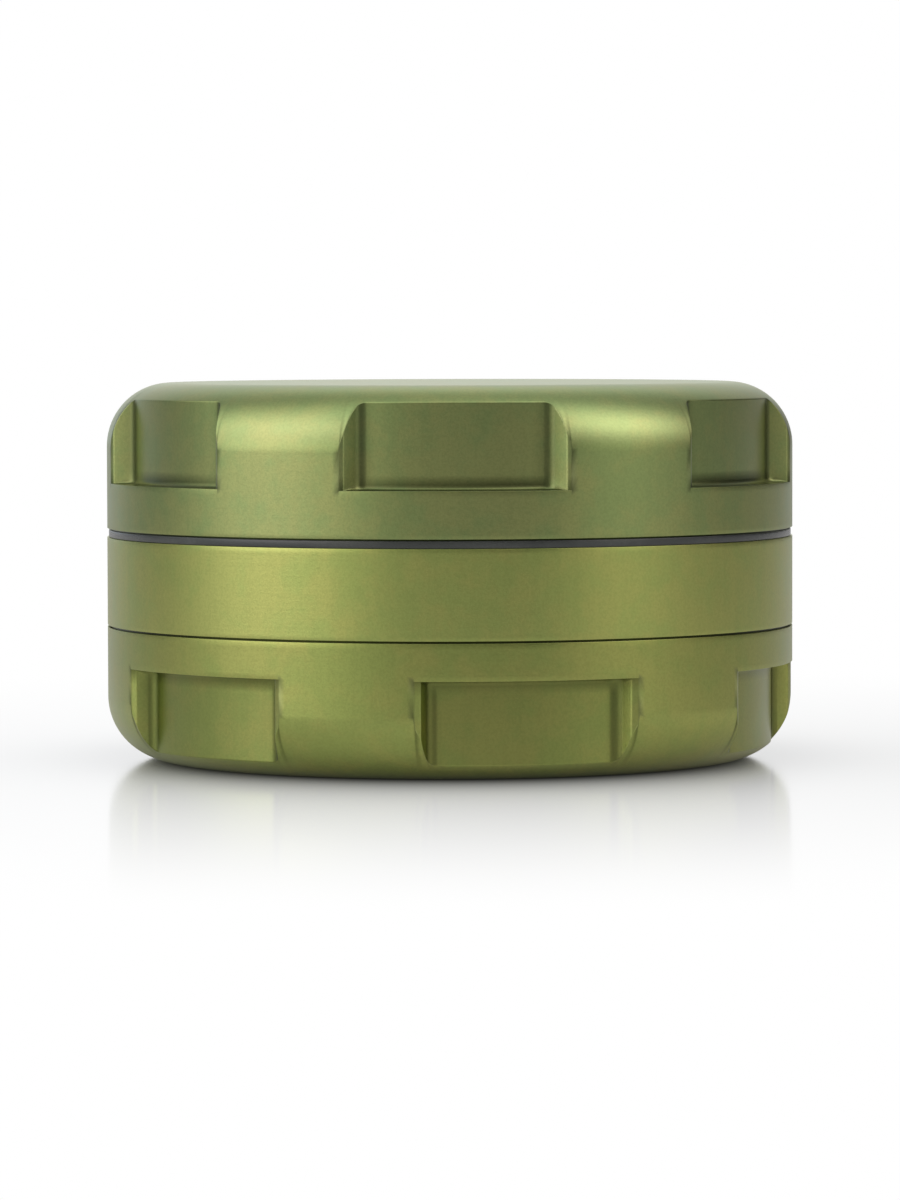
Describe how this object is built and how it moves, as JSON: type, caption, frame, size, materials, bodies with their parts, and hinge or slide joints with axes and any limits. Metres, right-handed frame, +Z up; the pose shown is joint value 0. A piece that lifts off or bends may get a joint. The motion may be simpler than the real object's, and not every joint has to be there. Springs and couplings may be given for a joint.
{
  "type": "herb grinder",
  "caption": "Three-segment hand grinder in anodised aluminium: notched lid that turns on a polymer ring, toothed chamber ring, and a notched storage base.",
  "frame": {"origin": "centre of the underside, on the table", "axes": "+Z up along the axis that every segment turns about, -Y the front"},
  "size_m": [0.063, 0.063, 0.0345],
  "materials": {
    "anodised_base": "satin, olive-green anodised",
    "anodised_ring": "satin, olive-green anodised",
    "anodised_lid": "satin, olive-green anodised",
    "anodised_plate": "satin, olive-green anodised, milled",
    "glide_polymer": "smooth acetal, matt black",
    "seal_rubber": "moulded, matt black",
    "screw_steel": "plain stainless steel",
    "magnet_plating": "nickel plated"
  },
  "bodies": {
    "base": {"base_cup": "anodised_base"},
    "seal": {"seal_ring": "seal_rubber"},
    "chamber": {"chamber_ring": "anodised_ring", "lower_tooth_plate": "anodised_plate", "lower_plate_screws": "screw_steel", "lower_magnet": "magnet_plating"},
    "glide": {"glide_ring": "glide_polymer"},
    "lid": {"lid_shell": "anodised_lid", "upper_tooth_plate": "anodised_plate", "upper_plate_screws": "screw_steel", "upper_magnet": "magnet_plating"}
  },
  "joints": [
    {"name": "chamber_unscrew", "type": "hinge", "parent": "base", "child": "seal", "pos_m": [0, 0, 0.0122], "axis": [0, 0, 1], "range_deg": [0, 810]},
    {"name": "chamber_rise", "type": "slide", "parent": "seal", "child": "chamber", "axis": [0, 0, 1], "range_m": [0, 0.00337]},
    {"name": "lid_turn", "type": "hinge", "parent": "chamber", "child": "glide", "pos_m": [0, 0, 0.0204], "axis": [0, 0, 1], "continuous": true},
    {"name": "lid_lift", "type": "slide", "parent": "glide", "child": "lid", "axis": [0, 0, 1], "range_m": [0, 0.03]}
  ],
  "couplings": [
    {"joint": "chamber_rise", "follows": "chamber_unscrew", "m_per_rad": 0.00023873}
  ]
}
